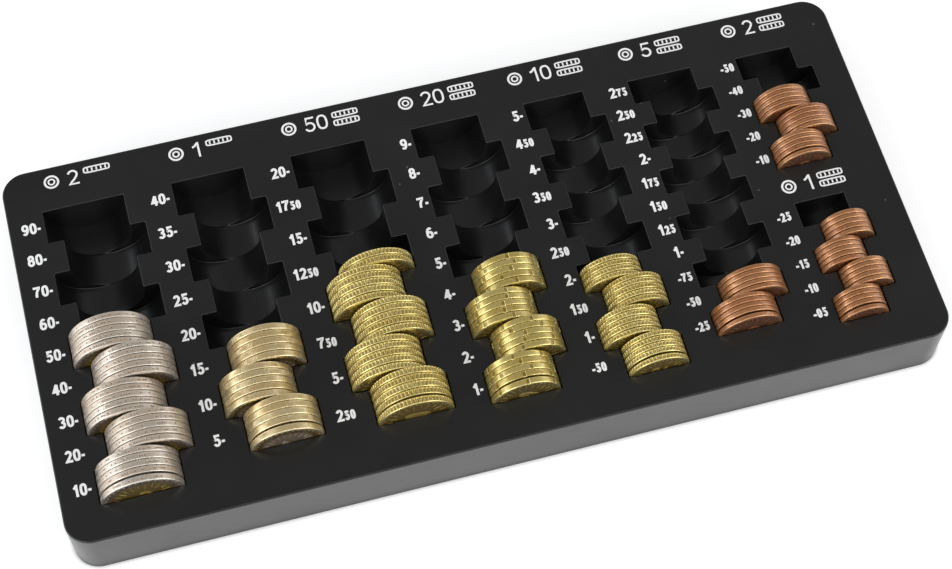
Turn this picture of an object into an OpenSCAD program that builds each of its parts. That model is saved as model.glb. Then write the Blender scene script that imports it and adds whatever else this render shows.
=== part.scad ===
// Manual coin counting tray, loaded with coins.
// A low hollow tray carries stepped chutes, one for each coin value. Coins stand on edge
// in rows of equal number, and the rows step left and right so that each can be counted.
// The origin is at the middle of the face that the tray rests on. +X runs along the tray,
// +Y points to its rear edge and +Z is up.

/* [Two euro column] */
// Diameter of the two euro coin
two_euro_dia = 25.75; // [24:0.05:27.5]
// Thickness of the two euro coin
two_euro_thick = 2.2; // [1.9:0.01:2.5]
// Rows in the two euro chute
two_euro_rows = 9; // [5:1:10]
// Length of a two euro row beyond the thickness of its coins
two_euro_play = 0.475; // [0.4:0.005:0.8]
// Distance from the rear edge of the tray to the first row
two_euro_rear = 16; // [12:0.1:20]

/* [One euro column] */
// Diameter of the one euro coin
one_euro_dia = 23.25; // [22:0.05:25]
// Thickness of the one euro coin
one_euro_thick = 2.33; // [2:0.01:2.6]
// Rows in the one euro chute
one_euro_rows = 8; // [6:1:9]
// Length of a one euro row beyond the thickness of its coins
one_euro_play = 0.6; // [0.4:0.005:0.8]
// Distance from the rear edge of the tray to the first row
one_euro_rear = 16; // [12:0.1:20]

/* [Fifty cent column] */
// Diameter of the fifty cent coin
fifty_cent_dia = 24.25; // [23:0.05:26]
// Thickness of the fifty cent coin
fifty_cent_thick = 2.38; // [2.1:0.01:2.6]
// Rows in the fifty cent chute
fifty_cent_rows = 8; // [4:1:9]
// Length of a fifty cent row beyond the thickness of its coins
fifty_cent_play = 0.55; // [0.4:0.005:0.8]
// Distance from the rear edge of the tray to the first row
fifty_cent_rear = 15.9; // [12:0.1:20]
// Coins left in the hindmost row that still holds any
fifty_cent_last_coins = 2; // [1:1:5]

/* [Twenty cent column] */
// Diameter of the twenty cent coin
twenty_cent_dia = 22.25; // [21:0.05:24]
// Thickness of the twenty cent coin
twenty_cent_thick = 2.14; // [1.9:0.01:2.4]
// Rows in the twenty cent chute
twenty_cent_rows = 9; // [6:1:10]
// Length of a twenty cent row beyond the thickness of its coins
twenty_cent_play = 0.58; // [0.4:0.005:0.8]
// Distance from the rear edge of the tray to the first row
twenty_cent_rear = 15.9; // [12:0.1:20]

/* [Ten cent column] */
// Diameter of the ten cent coin
ten_cent_dia = 19.75; // [18.5:0.05:21.5]
// Thickness of the ten cent coin
ten_cent_thick = 1.93; // [1.7:0.01:2.2]
// Rows in the ten cent chute
ten_cent_rows = 10; // [7:1:11]
// Length of a ten cent row beyond the thickness of its coins
ten_cent_play = 0.7; // [0.4:0.005:0.8]
// Distance from the rear edge of the tray to the first row
ten_cent_rear = 16; // [12:0.1:20]
// Coins left in the hindmost row that still holds any
ten_cent_last_coins = 4; // [1:1:5]

/* [Five cent column] */
// Diameter of the five cent coin
five_cent_dia = 21.25; // [20:0.05:23]
// Thickness of the five cent coin
five_cent_thick = 1.67; // [1.5:0.01:2]
// Rows in the five cent chute
five_cent_rows = 11; // [10:1:12]
// Length of a five cent row beyond the thickness of its coins
five_cent_play = 0.475; // [0.4:0.005:0.8]
// Distance from the rear edge of the tray to the first row
five_cent_rear = 16.2; // [12:0.1:20]

/* [Two cent column] */
// Diameter of the two cent coin
two_cent_dia = 18.75; // [17.5:0.05:20]
// Thickness of the two cent coin
two_cent_thick = 1.67; // [1.5:0.01:2]
// Rows in the two cent chute
two_cent_rows = 5; // [3:1:6]
// Length of a two cent row beyond the thickness of its coins
two_cent_play = 0.475; // [0.4:0.005:0.8]
// Distance from the rear edge of the tray to the first row
two_cent_rear = 16.7; // [12:0.1:20]

/* [One cent column] */
// Diameter of the one cent coin
one_cent_dia = 16.25; // [15:0.05:18]
// Thickness of the one cent coin
one_cent_thick = 1.67; // [1.5:0.01:2]
// Rows in the one cent chute
one_cent_rows = 5; // [2:1:6]
// Length of a one cent row beyond the thickness of its coins
one_cent_play = 0.475; // [0.4:0.005:0.8]
// Gap along the tray's depth between the two cent and the one cent chutes
one_cent_gap = 13.5; // [8:0.1:20]

/* [Layout] */
// Width of the left margin, which carries the first column of numbers
left_margin = 11.6; // [9:0.1:16]
// Width of the strip between two columns, which carries the numbers
strip_w = 10.7; // [8:0.1:16]
// Width of the right margin
right_margin = 11.2; // [8:0.05:16]
// Depth of the deck in front of the longest chute
front_margin = 10.8; // [8:0.1:16]
// How far every second row steps to the right
row_step = 5; // [3:0.1:6]
// Coins that fill one row
coins_per_row = 5; // [4:1:6]

/* [Moulding] */
// Depth of the coin centres below the top of the deck
coin_sink = 2; // [2:0.1:4]
// Thickness of the deck
deck_t = 1.8; // [1.2:0.1:1.9]
// Thickness of the four outer walls
wall_t = 2; // [1.4:0.1:3]
// Thickness of the chute walls
chute_t = 1.6; // [1:0.1:2.4]
// Height of the deepest chute above the table
ground_gap = 4.4; // [1:0.1:6]
// Radius of the four upright corners
corner_r = 8; // [6:0.5:16]
// Radius of the rounded top edge
edge_r = 0.6; // [0.4:0.1:1.3]

/* [Coins] */
// Bevel along a coin's edge
coin_bevel = 0.15; // [0.05:0.01:0.25]

/* [Fits] */
// Width of a slot beyond the coin's diameter
slot_play = 0.4; // [0.3:0.05:0.8]
// Gap between two coins of a row
coin_gap = 0.05; // [0.03:0.01:0.06]

/* [Hidden] */
$fn = 96;
COLUMN_NAMES = ["2_euro", "1_euro", "50_cent", "20_cent", "10_cent", "5_cent", "2_cent", "1_cent"];
COLUMNS = [0 : len(COLUMN_NAMES) - 1];
// The one cent column stands in front of the two cent column
two_cent = search(["2_cent"], COLUMN_NAMES)[0];
one_cent = search(["1_cent"], COLUMN_NAMES)[0];
coin_dia = [two_euro_dia, one_euro_dia, fifty_cent_dia, twenty_cent_dia,
            ten_cent_dia, five_cent_dia, two_cent_dia, one_cent_dia];
coin_thick = [two_euro_thick, one_euro_thick, fifty_cent_thick, twenty_cent_thick,
              ten_cent_thick, five_cent_thick, two_cent_thick, one_cent_thick];
rows = [two_euro_rows, one_euro_rows, fifty_cent_rows, twenty_cent_rows,
        ten_cent_rows, five_cent_rows, two_cent_rows, one_cent_rows];
row_play = [two_euro_play, one_euro_play, fifty_cent_play, twenty_cent_play,
            ten_cent_play, five_cent_play, two_cent_play, one_cent_play];
// Rows left empty, counted from the rear
empty_rows = [4, 5, 3, 5, 6, 9, 2, 1];
// Coins in the hindmost row that holds any
hindmost_coins = [coins_per_row, coins_per_row, fifty_cent_last_coins, coins_per_row,
                  ten_cent_last_coins, coins_per_row, coins_per_row, coins_per_row];

silver_colour = [0.72, 0.71, 0.68];
gold_colour = [0.80, 0.66, 0.33];
copper_colour = [0.68, 0.40, 0.26];
plastic_colour = [0.13, 0.13, 0.14];
coin_colour = [silver_colour, gold_colour, gold_colour, gold_colour,
               gold_colour, copper_colour, copper_colour, copper_colour];

// Width of a column's slot, length of one of its rows, and gap at each end of a full row
function slot_w(c) = coin_dia[c] + slot_play;
function row_len(c) = coins_per_row * coin_thick[c] + row_play[c];
function row_end_gap(c) = (row_play[c] - (coins_per_row - 1) * coin_gap) / 2;
function chute_len(c) = rows[c] * row_len(c);

// Left edge of a column's unstepped rows, from the left edge of the tray
function col_left(c) =
    c == one_cent ? col_left(two_cent) + (slot_w(two_cent) - slot_w(one_cent)) / 2
    : c == 0 ? left_margin
    : col_left(c - 1) + slot_w(c - 1) + row_step + strip_w;

// Start of a column's first row, from the rear edge of the tray
function col_rear(c) =
    c == one_cent ? two_cent_rear + chute_len(two_cent) + one_cent_gap
    : [two_euro_rear, one_euro_rear, fifty_cent_rear, twenty_cent_rear,
       ten_cent_rear, five_cent_rear, two_cent_rear][c];

tray_w = col_left(two_cent) + slot_w(two_cent) + row_step + right_margin;
tray_d = max([for (c = COLUMNS) col_rear(c) + chute_len(c)]) + front_margin;
tray_h = coin_sink + max([for (c = COLUMNS) slot_w(c)]) / 2 + chute_t + ground_gap;
axis_z = tray_h - coin_sink;
// Length by which a cutting shape passes the face that it cuts
cut = 1;

// Middle of a row across the column, and its rear end
function row_x(c, i) = col_left(c) - tray_w / 2 + slot_w(c) / 2 + (i % 2) * row_step;
function row_y(c, i) = tray_d / 2 - col_rear(c) - i * row_len(c);

// Coins standing in a row
function coins_in(c, i) = i == empty_rows[c] ? hindmost_coins[c] : coins_per_row;

function chute_name(c) = str("chute_", COLUMN_NAMES[c]);
function stack_name(c, i) = str("coins_", COLUMN_NAMES[c], "_row_", i + 1);

// A rectangle with round corners, centred
module round_rect(w, d, r) {
    square([w - 2 * r, d], center = true);
    square([w, d - 2 * r], center = true);
    for (x = [-1, 1])
        for (y = [-1, 1])
            translate([x * (w / 2 - r), y * (d / 2 - r)]) circle(r);
}

// Section of an outer wall, with its outer face at x = 0 and its top edge rounded
module wall_section() {
    square([wall_t, tray_h - edge_r]);
    translate([edge_r, 0]) square([wall_t - edge_r, tray_h]);
    translate([edge_r, tray_h - edge_r]) circle(edge_r);
}

// Section of a row: a round floor and straight sides that rise to a given height
module row_section(r, rise) {
    intersection() {
        circle(r);
        translate([-r, -r]) square([2 * r, r]);
    }
    translate([-r, 0]) square([2 * r, rise]);
}

// A length of row section that starts at y and runs to the front
module row_solid(c, i, y, len, r, rise)
    translate([row_x(c, i), y, axis_z])
        rotate([90, 0, 0]) linear_extrude(len) row_section(r, rise);

// The flat top of the tray, with a slot for each row
module deck() {
    color(plastic_colour)
        translate([0, 0, tray_h - deck_t])
            linear_extrude(deck_t)
                difference() {
                    round_rect(tray_w - 2 * wall_t, tray_d - 2 * wall_t, corner_r - wall_t);
                    for (c = COLUMNS)
                        for (i = [0 : rows[c] - 1])
                            translate([row_x(c, i) - slot_w(c) / 2, row_y(c, i) - row_len(c)])
                                square([slot_w(c), row_len(c)]);
                }
}

// A straight wall along the front or the rear, between the round corners
module long_wall() {
    color(plastic_colour)
        translate([-tray_w / 2 + corner_r, -tray_d / 2, 0])
            rotate([90, 0, 90]) linear_extrude(tray_w - 2 * corner_r) wall_section();
}

module front_wall() long_wall();

module rear_wall() mirror([0, 1, 0]) long_wall();

// An end wall with the two round corners that it carries
module end_wall() {
    color(plastic_colour) {
        translate([-tray_w / 2, tray_d / 2 - corner_r, 0])
            rotate([90, 0, 0]) linear_extrude(tray_d - 2 * corner_r) wall_section();
        for (y = [-1, 1])
            translate([-tray_w / 2 + corner_r, y * (tray_d / 2 - corner_r), 0])
                rotate([0, 0, y > 0 ? 90 : 180])
                    rotate_extrude(angle = 90)
                        translate([corner_r, 0]) mirror([1, 0]) wall_section();
    }
}

module left_wall() end_wall();

module right_wall() mirror([1, 0, 0]) end_wall();

// A stepped chute. Each row's shell reaches one wall's thickness past its ends, so that
// it closes the crescent where the next row steps aside.
module chute(c) {
    rise = coin_sink - deck_t;
    color(plastic_colour)
        difference() {
            for (i = [0 : rows[c] - 1])
                row_solid(c, i, row_y(c, i) + chute_t, row_len(c) + 2 * chute_t,
                          slot_w(c) / 2 + chute_t, rise);
            for (i = [0 : rows[c] - 1])
                row_solid(c, i, row_y(c, i), row_len(c), slot_w(c) / 2, rise + cut);
        }
}

// A coin with bevelled edges, its axis along Y and its front face at y = 0
module coin(c) {
    r = coin_dia[c] / 2;
    t = coin_thick[c];
    rotate([-90, 0, 0])
        rotate_extrude()
            polygon([[0, 0], [r - coin_bevel, 0], [r, coin_bevel],
                     [r, t - coin_bevel], [r - coin_bevel, t], [0, t]]);
}

// The coins of one row, packed against the front end of the row
module coin_stack(c, i) {
    color(coin_colour[c])
        for (k = [0 : coins_in(c, i) - 1])
            translate([row_x(c, i),
                       row_y(c, i) - row_len(c) + row_end_gap(c) + k * (coin_thick[c] + coin_gap),
                       axis_z])
                coin(c);
}

deck();
front_wall();
rear_wall();
left_wall();
right_wall();
for (c = COLUMNS)
    chute(c);
for (c = COLUMNS)
    for (i = [empty_rows[c] : rows[c] - 1])
        coin_stack(c, i);
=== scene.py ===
# %% [markdown]
# # A coin counting tray with its coins
# A low tray of black plastic holds coins on edge in stepped chutes, and white numbers say
# what the coins up to each row are worth. A construction model gives every size and place.
# This script adds smooth surfaces, the small roundings that catch the light, and finishes.

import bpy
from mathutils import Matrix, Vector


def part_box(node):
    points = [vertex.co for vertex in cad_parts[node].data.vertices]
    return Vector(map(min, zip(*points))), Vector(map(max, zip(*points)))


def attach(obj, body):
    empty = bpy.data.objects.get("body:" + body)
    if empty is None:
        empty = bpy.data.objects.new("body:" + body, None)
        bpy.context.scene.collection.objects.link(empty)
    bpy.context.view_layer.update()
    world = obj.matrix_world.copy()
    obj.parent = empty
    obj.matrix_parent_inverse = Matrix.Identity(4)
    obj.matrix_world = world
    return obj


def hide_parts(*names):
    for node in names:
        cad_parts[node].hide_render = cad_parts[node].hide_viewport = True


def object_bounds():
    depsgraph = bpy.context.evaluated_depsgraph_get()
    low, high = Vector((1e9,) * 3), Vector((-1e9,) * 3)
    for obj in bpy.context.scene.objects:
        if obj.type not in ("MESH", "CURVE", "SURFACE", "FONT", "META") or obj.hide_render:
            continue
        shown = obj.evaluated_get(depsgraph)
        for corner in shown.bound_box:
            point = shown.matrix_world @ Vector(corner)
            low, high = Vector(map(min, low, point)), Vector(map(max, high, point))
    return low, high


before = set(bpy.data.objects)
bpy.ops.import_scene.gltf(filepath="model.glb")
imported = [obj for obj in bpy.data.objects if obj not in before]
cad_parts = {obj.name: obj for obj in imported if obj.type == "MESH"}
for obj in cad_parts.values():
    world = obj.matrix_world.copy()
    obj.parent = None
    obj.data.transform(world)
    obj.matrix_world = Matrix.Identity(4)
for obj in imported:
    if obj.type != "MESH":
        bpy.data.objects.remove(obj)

# %% Tools and units
import math
from types import SimpleNamespace

import bmesh
import bpy
import numpy as np
from mathutils import Matrix, Vector
from mathutils.geometry import tessellate_polygon

MM = 0.001
cad_box = [list(corner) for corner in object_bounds()]
print("size of the model in mm:", [round((b - a) / MM, 1) for a, b in zip(*cad_box)])


def add_object(name, data):
    """An object that holds a mesh, a camera or a lamp, linked to the scene."""
    item = bpy.data.objects.new(name, data)
    bpy.context.scene.collection.objects.link(item)
    return item


# %% [markdown]
# ## The camera
# A camera is placed by where it stands and which way it looks. Three angles give the way:
# how far it turns from straight ahead, looks down and rolls. They were worked out from the
# corners of the slots, whose real size is known from the coins.

# %% Camera
CAMERA_PLACE = Vector((-81.175, -294.65, 598.8)) * MM
CAMERA_TURN = math.radians(15.824)
CAMERA_DOWN = math.radians(62.986)
CAMERA_ROLL = math.radians(-0.953)
LENS_MM = 77.84


def camera_axes(turn, down, roll):
    """The camera's right, up and backward directions. It looks along (sin turn cos down,
    cos turn cos down, -sin down), and a roll makes its right: level right cos roll - up sin roll."""
    look = Vector((math.sin(turn) * math.cos(down), math.cos(turn) * math.cos(down), -math.sin(down)))
    level = look.cross(Vector((0, 0, 1))).normalized()
    upward = level.cross(look)
    right = level * math.cos(roll) - upward * math.sin(roll)
    return right, right.cross(look), -look


camera_data = bpy.data.cameras.new("camera")
camera_data.lens = LENS_MM
camera_data.sensor_width = 36.0
camera = add_object("camera", camera_data)
camera.matrix_world = Matrix.Translation(CAMERA_PLACE) @ Matrix(
    camera_axes(CAMERA_TURN, CAMERA_DOWN, CAMERA_ROLL)).transposed().to_4x4()
bpy.context.scene.camera = camera
print("camera stands", round(CAMERA_PLACE.length, 3), "m from the origin")

# %% [markdown]
# ## The plan of the tray
# Every chute is a line of rows, and every second row steps to the right. The box around
# the model's solid of a chute, less its wall, says where the rows begin, how wide they are
# and how long. Read like this, sizes stay right when the model changes.

# %% Columns and rows
CHUTE_WALL = 1.6 * MM
OUTER_WALL = 2.0 * MM
ROW_STEP = 5.0 * MM
COIN_GAP = 0.05 * MM
COINS_PER_ROW = 5  # coins in a full row

deck_low, deck_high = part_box("deck")
DECK_TOP = deck_high.z
DECK_UNDER = deck_low.z

# For each column: the numeral of its head, how many coins lie beside it, and the numbers of its rows
COLUMN_TEXTS = {
    "2_euro": ("2", 1, "90- 80- 70- 60- 50- 40- 30- 20- 10-"),
    "1_euro": ("1", 1, "40- 35- 30- 25- 20- 15- 10- 5-"),
    "50_cent": ("50", 2, "20- 17^50 15- 12^50 10- 7^50 5- 2^50"),
    "20_cent": ("20", 2, "9- 8- 7- 6- 5- 4- 3- 2- 1-"),
    "10_cent": ("10", 2, "5- 4^50 4- 3^50 3- 2^50 2- 1^50 1- -50"),
    "5_cent": ("5", 2, "2^75 2^50 2^25 2- 1^75 1^50 1^25 1- -75 -50 -25"),
    "2_cent": ("2", 2, "-50 -40 -30 -20 -10"),
    "1_cent": ("1", 2, "-25 -20 -15 -10 -05"),
}


def read_column(name):
    """Places of a column's rows, from the box around its chute."""
    value, bars, labels = COLUMN_TEXTS[name]
    low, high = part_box("chute_" + name)
    count = len(labels.split())
    slot = high.x - low.x - 2 * CHUTE_WALL - ROW_STEP
    rear, front = high.y - CHUTE_WALL, low.y + CHUTE_WALL
    return SimpleNamespace(
        name=name, value=value, bars=bars, labels=labels.split(), count=count, radius=slot / 2,
        left=low.x + CHUTE_WALL, rear=rear, front=front, length=(rear - front) / count,
        axis=low.z + CHUTE_WALL + slot / 2)


columns = [read_column(name) for name in COLUMN_TEXTS]
for column in columns:
    print(column.name, "slot and row in mm:", round(2 * column.radius / MM, 2), round(column.length / MM, 2))


def row_centre(column, row):
    """Middle of a row across the column: every second row is one step to the right."""
    return column.left + column.radius + (row % 2) * ROW_STEP


# %% [markdown]
# ## Making meshes from grids
# Most shapes here are grids of points, worked out as whole arrays and turned into faces by
# joining each point to its neighbours. The parts of a piece are collected in a basket, and
# points that fall on each other can be welded at the end, which closes the seams.

# %% Mesh helpers


def grid_faces(rows, cols, around, closed):
    """Corner numbers of the faces of a grid of points, counted row by row.
    Face (i, j) joins points (i, j), (i, j + 1), (i + 1, j + 1) and (i + 1, j). With around, the last
    column joins the first, and with closed the last row joins the first row."""
    i, j = np.meshgrid(np.arange(rows if closed else rows - 1), np.arange(cols if around else cols - 1),
                       indexing="ij")
    k, m = (j + 1) % cols, (i + 1) % rows
    return np.stack([i * cols + j, i * cols + k, m * cols + k, m * cols + j], -1).reshape(-1, 4)


def quarter_turn(steps):
    """Angles from 0 to 90 degrees in even steps."""
    return np.linspace(0, math.pi / 2, steps + 1)


def quarter_round(steps):
    """Pairs (1 - cos f, 1 - sin f) over a quarter turn f: the first rises to 1 as the second falls to 0."""
    return list(zip(1 - np.cos(quarter_turn(steps)), 1 - np.sin(quarter_turn(steps))))


class Basket:
    """Points, faces and marks of the parts of one piece."""

    def __init__(self):
        self.points, self.faces, self.kinds, self.total = [], [], [], 0

    def add(self, points, faces, kind=0):
        """kind is the material number of the faces, or a list with one for each face."""
        points = np.asarray(points, float).reshape(-1, 3)
        self.points.append(points)
        self.faces.extend((np.asarray(face) + self.total).tolist() for face in faces)
        self.kinds.extend(np.broadcast_to(kind, len(faces)).tolist())
        self.total += len(points)

    def add_grid(self, points, kind=0, around=False, closed=False):
        self.add(points, grid_faces(*points.shape[:2], around, closed), kind)

    def add_rod(self, rings, kind=0, lid_kind=0):
        """A grid of rings with a lid on the first and on the last of them."""
        rows, cols = rings.shape[:2]
        self.add_grid(rings, kind, around=True)
        first = self.total - rows * cols
        self.faces.append(list(range(first + cols - 1, first - 1, -1)))
        self.faces.append(list(range(self.total - cols, self.total)))
        self.kinds.extend([lid_kind] * 2)

    def mesh(self, name, weld=0.0, smooth=True):
        """The finished mesh. Points nearer than weld become one, and then the faces are turned outwards."""
        mesh = bpy.data.meshes.new(name)
        mesh.from_pydata(np.concatenate(self.points).tolist(), [], self.faces)
        mesh.polygons.foreach_set("material_index", self.kinds)
        mesh.polygons.foreach_set("use_smooth", np.array(np.broadcast_to(smooth, len(self.faces))))
        if weld:
            shape = bmesh.new()
            shape.from_mesh(mesh)
            bmesh.ops.remove_doubles(shape, verts=shape.verts, dist=weld)
            bmesh.ops.recalc_face_normals(shape, faces=shape.faces)
            print(name, "has", sum(not edge.is_manifold for edge in shape.edges), "open edges")
            shape.to_mesh(mesh)
            shape.free()
        mesh.update()
        return mesh


def put(name, mesh, materials, body):
    """Makes the mesh a piece that moves with a body of the model."""
    piece = add_object(name, mesh)
    for material in materials:
        mesh.materials.append(material)
    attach(piece, body)
    return piece


# %% [markdown]
# ## Finishes
# A finish has to be right at three scales: the colour from a step away, the sheen as the
# light moves, and the small marks seen close to. Effects that finishes share are node
# groups, built once and placed in each material with its own values.

# %% Node helpers


def new_group(name, inputs, outputs):
    """An empty shader group with named sockets, given as (name, kind, value)."""
    group = bpy.data.node_groups.new(name, "ShaderNodeTree")
    for label, kind, value in inputs:
        socket = group.interface.new_socket(name=label, in_out="INPUT", socket_type="NodeSocket" + kind)
        socket.default_value = value
    for label, kind in outputs:
        group.interface.new_socket(name=label, in_out="OUTPUT", socket_type="NodeSocket" + kind)
    return group, group.nodes.new("NodeGroupInput"), group.nodes.new("NodeGroupOutput")


def connect(tree, node, **inputs):
    """Sets the inputs of a node to values, or joins them to other sockets. An input is called by its name,
    or by its number after the letter i."""
    for key, value in inputs.items():
        numbered = key[0] == "i" and key[1:].isdigit()
        socket = node.inputs[int(key[1:]) if numbered else key.replace("_", " ")]
        if isinstance(value, bpy.types.NodeSocket):
            tree.links.new(value, socket)
        else:
            socket.default_value = value
    return node


def add_node(tree, kind, settings=None, **inputs):
    """A shader node with its settings and its inputs."""
    node = tree.nodes.new("ShaderNode" + kind)
    for key, value in (settings or {}).items():
        setattr(node, key, value)
    return connect(tree, node, **inputs)


def maths(tree, kind, a, b=0.0, clamp=False):
    return add_node(tree, "Math", {"operation": kind, "use_clamp": clamp}, i0=a, i1=b).outputs[0]


def times(tree, a, b):
    return maths(tree, "MULTIPLY", a, b)


def plus(tree, a, b, clamp=False):
    return maths(tree, "ADD", a, b, clamp)


def minus(tree, a, b):
    return maths(tree, "SUBTRACT", a, b)


def span(tree, value, low, high, out_low=0.0, out_high=1.0):
    """A value carried from one range to another, and held inside it."""
    return add_node(tree, "MapRange", {"clamp": True}, Value=value, From_Min=low, From_Max=high,
                    To_Min=out_low, To_Max=out_high).outputs[0]


def blend_colours(tree, factor, a, b):
    """Colour a where the factor is 0, and b where it is 1."""
    return add_node(tree, "Mix", {"data_type": "RGBA"}, i0=factor, i6=a, i7=b).outputs[2]


def noise(tree, place, scale, detail, roughness=0.5):
    return add_node(tree, "TexNoise", Vector=place, Scale=scale, Detail=detail,
                    Roughness=roughness).outputs["Fac"]


# %% [markdown]
# Each effect is noise on the piece's own coordinates, so it stays with a piece that moves.
# A group hands out masks, heights and values, and each finish puts them to its own use.

# %% Shared effects


def make_grain():
    """Fine grain: two sizes of noise, mixed into a height and a mask of the same scale."""
    group, source, result = new_group(
        "fine_grain", [("Place", "Vector", (0, 0, 0)), ("Scale", "Float", 900.0)],
        [("Height", "Float"), ("Mask", "Float")])
    place, scale = source.outputs[:2]
    coarse = noise(group, place, scale, 2.0)
    fine = noise(group, place, times(group, scale, 3.3), 3.0)
    height = plus(group, times(group, coarse, 0.65), times(group, fine, 0.35))
    connect(group, result, Height=height, Mask=span(group, height, 0.35, 0.65))
    return group


def make_handling():
    """Handling: broad soft patches, where fingers and cloth have made a surface shinier or duller."""
    group, source, result = new_group(
        "handling", [("Place", "Vector", (0, 0, 0)), ("Scale", "Float", 40.0), ("Roughness", "Float", 0.4),
                     ("Spread", "Float", 0.1)], [("Roughness", "Float"), ("Mask", "Float")])
    place, scale, rough, spread = source.outputs[:4]
    mask = span(group, noise(group, place, scale, 4.0, 0.6), 0.3, 0.7)
    shift = times(group, minus(group, mask, 0.5), spread)
    connect(group, result, Roughness=plus(group, rough, shift, clamp=True), Mask=mask)
    return group


def make_specks():
    """Dust specks: the middle of a cell shows as a speck in the few cells whose random colour is high."""
    group, source, result = new_group(
        "dust_specks", [("Place", "Vector", (0, 0, 0)), ("Scale", "Float", 300.0), ("Amount", "Float", 0.1)],
        [("Mask", "Float")])
    place, scale, amount = source.outputs[:3]
    cells = add_node(group, "TexVoronoi", {"feature": "F1"}, Vector=place, Scale=scale, Randomness=1.0)
    near = span(group, cells.outputs["Distance"], 0.05, 0.13, 1.0, 0.0)
    chance = add_node(group, "SeparateColor", Color=cells.outputs["Color"]).outputs[0]
    chosen = maths(group, "LESS_THAN", chance, amount)
    connect(group, result, Mask=times(group, near, chosen))
    return group


fine_grain, handling, dust_specks = make_grain(), make_handling(), make_specks()


def use_group(tree, group, **inputs):
    return add_node(tree, "Group", {"node_tree": group}, **inputs)


def start_material(name):
    """A material with its shader and the piece's own coordinates."""
    material = bpy.data.materials.new(name)
    material.use_nodes = True
    tree = material.node_tree
    shader = tree.nodes["Principled BSDF"]
    place = add_node(tree, "TexCoord").outputs["Object"]
    return material, tree, shader, place


def bump(tree, height, strength, distance):
    return add_node(tree, "Bump", Strength=strength, Distance=distance, Height=height).outputs["Normal"]


print("shared effects:", [group.name for group in (fine_grain, handling, dust_specks)])

# %% [markdown]
# ## Satin black plastic
# The plastic's skin isn't flat: it has a fine grain, a faint ripple, specks of dust and
# patches that hands have polished. Each is a small change of roughness, colour or height.

# %% Black plastic
PLASTIC_COLOUR = (0.0040, 0.0040, 0.0042, 1)
PLASTIC_WORN = (0.0070, 0.0070, 0.0072, 1)
DUST_COLOUR = (0.16, 0.16, 0.15, 1)
PLASTIC_IOR = 1.52
PRINT_WHITE = (0.95, 0.95, 0.94, 1)
PRINT_THIN = (0.88, 0.88, 0.88, 1)


def make_plastic():
    material, tree, shader, place = start_material("satin_black_plastic")
    grain = use_group(tree, fine_grain, Place=place, Scale=1400.0)
    hands = use_group(tree, handling, Place=place, Scale=38.0, Roughness=0.33, Spread=0.08)
    specks = use_group(tree, dust_specks, Place=place, Scale=260.0, Amount=0.035)
    colour = blend_colours(tree, hands.outputs["Mask"], PLASTIC_COLOUR, PLASTIC_WORN)
    dusty = blend_colours(tree, times(tree, specks.outputs["Mask"], 0.55), colour, DUST_COLOUR)
    ripple = times(tree, noise(tree, place, 55.0, 2.0), 2.0)
    skin = bump(tree, plus(tree, grain.outputs["Height"], ripple), 0.35, 0.04 * MM)
    connect(tree, shader, Base_Color=dusty, Roughness=hands.outputs["Roughness"], Normal=skin,
            IOR=PLASTIC_IOR)
    return material


black_plastic = make_plastic()


def make_print():
    """White ink: matt, and a faint grey in the places where it is thinner and the black shows through."""
    material, tree, shader, place = start_material("white_print")
    thin = span(tree, noise(tree, place, 2600.0, 3.0), 0.30, 0.75)
    connect(tree, shader, Base_Color=blend_colours(tree, thin, PRINT_WHITE, PRINT_THIN), Roughness=0.55)
    return material


white_print = make_print()
print("plastic and print are ready")

# %% [markdown]
# ## The moulding
# The tray is a thin shell, with an upper skin and an under skin one wall apart. Inside a
# chute the section is a letter U. It is carried along the chute, and between two rows it
# slides sideways along two small quarter rounds, since a mould can't make a razor edge.
# One grid for each chute stays whole where a Bevel modifier would tear the crossing rows.

# %% Section of a row
FLOOR_POINTS = 20
SIDE_POINTS = 3
EDGE_ROUND = 0.45 * MM
EDGE_STEPS = 3
EDGE_GUARD = 0.05 * MM


def row_section(column, row, radius, top):
    """Section of a row as points (x, z), from the top of its left side, round the floor, to its right.
    A floor point is (centre + R cos a, axis + R sin a), with a from 180 to 360 degrees. The floors of a
    left and a right row cross where cos a is half a step over R, and that angle is a point of both."""
    centre = row_centre(column, row)
    towards = 1 if row % 2 == 0 else -1
    cross = 1.5 * math.pi + towards * math.asin(ROW_STEP / 2 / radius)
    left = np.linspace(math.pi, cross, FLOOR_POINTS)
    right = np.linspace(cross, 2 * math.pi, FLOOR_POINTS)[1:]
    angles = np.concatenate([left, right])
    floor = np.stack([centre + radius * np.cos(angles), column.axis + radius * np.sin(angles)], -1)
    rise = np.linspace(top, column.axis, SIDE_POINTS)[:-1]
    side = np.stack([np.full(len(rise), radius), rise], -1)
    left_side = side * (-1, 1) + (centre, 0)
    right_side = side[::-1] + (centre, 0)
    return np.concatenate([left_side, floor, right_side])


def step_path(start, end, radius):
    """The surface between two sections: a quarter round out of the first, a flat, and a quarter round
    into the second. With f from 0 to 90 degrees, the first has moved r (1 - cos f) sideways and r (1 - sin f)
    remains along the chute; the second is the same turned about. Sections nearer than 2 r shrink the
    sideways part. Each is given once more outside the rounds, so the long floors stay evenly lit."""
    gap = end - start
    size = np.linalg.norm(gap, axis=-1, keepdims=True)
    side = gap / np.maximum(size, 1e-9)
    reach = np.minimum(radius, size / 2)
    turn = quarter_turn(EDGE_STEPS)[:, None, None]
    first = start + side * reach * (1 - np.cos(turn))
    second = end - side * reach * (1 - np.sin(turn))
    along = np.concatenate([1 - np.sin(turn), np.cos(turn) - 1])[:, 0, 0] * radius
    along = np.concatenate([[radius + EDGE_GUARD], along, [-radius - EDGE_GUARD]])
    return np.concatenate([start[None], first, second, end[None]]), along


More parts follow.
